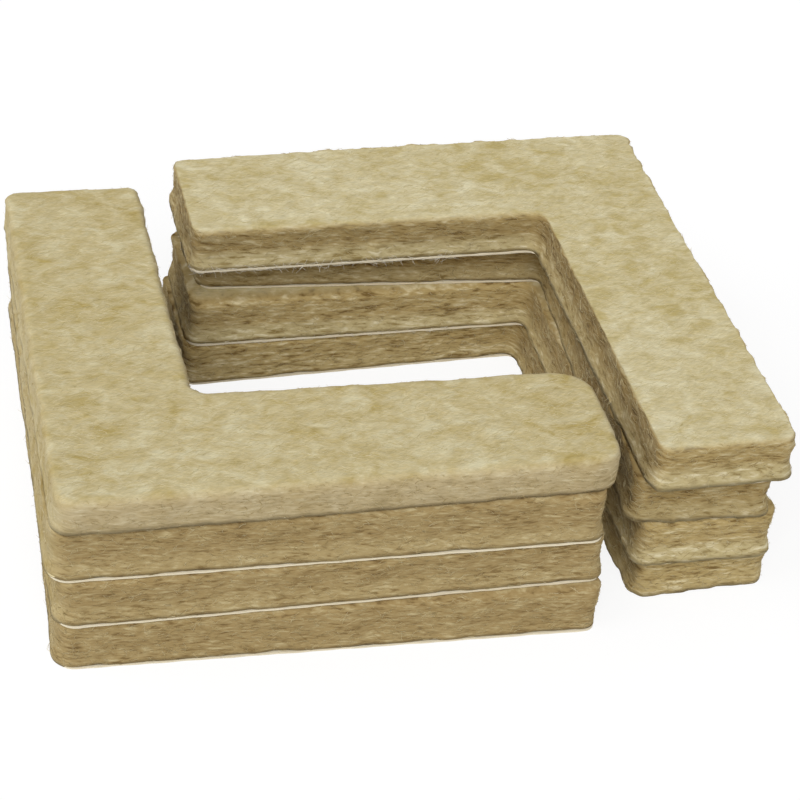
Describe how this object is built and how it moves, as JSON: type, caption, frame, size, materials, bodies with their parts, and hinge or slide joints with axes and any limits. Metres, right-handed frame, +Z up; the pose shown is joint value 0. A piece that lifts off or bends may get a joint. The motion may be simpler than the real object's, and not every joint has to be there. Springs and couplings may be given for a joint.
{
  "type": "furniture slider",
  "caption": "L-shaped felt furniture slider pads with an adhesive film and a paper release liner, piled loose in facing stacks that form a square ring.",
  "frame": {"origin": "middle of the box round both stacks, on the surface they stand on", "axes": "+Z up; +X along the long side of the set, to the right in the picture; +Y to the back"},
  "size_m": [0.0896, 0.0742, 0.024],
  "materials": {
    "felt": "needle-punched beige felt",
    "adhesive": "tacky pale yellow film",
    "liner": "smooth white release paper"
  },
  "bodies": {
    "front_liner_4": {"front_pad_4_liner": "liner"},
    "front_pad_4": {"front_pad_4_felt": "felt", "front_pad_4_adhesive": "adhesive"},
    "front_liner_3": {"front_pad_3_liner": "liner"},
    "front_pad_3": {"front_pad_3_felt": "felt", "front_pad_3_adhesive": "adhesive"},
    "front_liner_2": {"front_pad_2_liner": "liner"},
    "front_pad_2": {"front_pad_2_felt": "felt", "front_pad_2_adhesive": "adhesive"},
    "front_liner_1": {"front_pad_1_liner": "liner"},
    "front_pad_1": {"front_pad_1_felt": "felt", "front_pad_1_adhesive": "adhesive"},
    "back_liner_4": {"back_pad_4_liner": "liner"},
    "back_pad_4": {"back_pad_4_felt": "felt", "back_pad_4_adhesive": "adhesive"},
    "back_liner_3": {"back_pad_3_liner": "liner"},
    "back_pad_3": {"back_pad_3_felt": "felt", "back_pad_3_adhesive": "adhesive"},
    "back_liner_2": {"back_pad_2_liner": "liner"},
    "back_pad_2": {"back_pad_2_felt": "felt", "back_pad_2_adhesive": "adhesive"},
    "back_liner_1": {"back_pad_1_liner": "liner"},
    "back_pad_1": {"back_pad_1_felt": "felt", "back_pad_1_adhesive": "adhesive"}
  },
  "joints": [
    {"name": "front_pad_4_peel", "type": "slide", "parent": "front_liner_4", "child": "front_pad_4", "axis": [0, 0, 1], "range_m": [0, 0.02]},
    {"name": "front_pad_3_lift", "type": "slide", "parent": "front_pad_4", "child": "front_liner_3", "axis": [0, 0, 1], "range_m": [0, 0.03]},
    {"name": "front_pad_3_peel", "type": "slide", "parent": "front_liner_3", "child": "front_pad_3", "axis": [0, 0, 1], "range_m": [0, 0.02]},
    {"name": "front_pad_2_lift", "type": "slide", "parent": "front_pad_3", "child": "front_liner_2", "axis": [0, 0, 1], "range_m": [0, 0.03]},
    {"name": "front_pad_2_peel", "type": "slide", "parent": "front_liner_2", "child": "front_pad_2", "axis": [0, 0, 1], "range_m": [0, 0.02]},
    {"name": "front_pad_1_lift", "type": "slide", "parent": "front_pad_2", "child": "front_liner_1", "axis": [0, 0, 1], "range_m": [0, 0.03]},
    {"name": "front_pad_1_peel", "type": "slide", "parent": "front_liner_1", "child": "front_pad_1", "axis": [0, 0, 1], "range_m": [0, 0.02]},
    {"name": "back_pad_4_lift", "type": "slide", "parent": "front_liner_4", "child": "back_liner_4", "axis": [0, 0, 1], "range_m": [0, 0.03]},
    {"name": "back_pad_4_peel", "type": "slide", "parent": "back_liner_4", "child": "back_pad_4", "axis": [0, 0, 1], "range_m": [0, 0.02]},
    {"name": "back_pad_3_lift", "type": "slide", "parent": "back_pad_4", "child": "back_liner_3", "axis": [0, 0, 1], "range_m": [0, 0.03]},
    {"name": "back_pad_3_peel", "type": "slide", "parent": "back_liner_3", "child": "back_pad_3", "axis": [0, 0, 1], "range_m": [0, 0.02]},
    {"name": "back_pad_2_lift", "type": "slide", "parent": "back_pad_3", "child": "back_liner_2", "axis": [0, 0, 1], "range_m": [0, 0.03]},
    {"name": "back_pad_2_peel", "type": "slide", "parent": "back_liner_2", "child": "back_pad_2", "axis": [0, 0, 1], "range_m": [0, 0.02]},
    {"name": "back_pad_1_lift", "type": "slide", "parent": "back_pad_2", "child": "back_liner_1", "axis": [0, 0, 1], "range_m": [0, 0.03]},
    {"name": "back_pad_1_peel", "type": "slide", "parent": "back_liner_1", "child": "back_pad_1", "axis": [0, 0, 1], "range_m": [0, 0.02]}
  ]
}
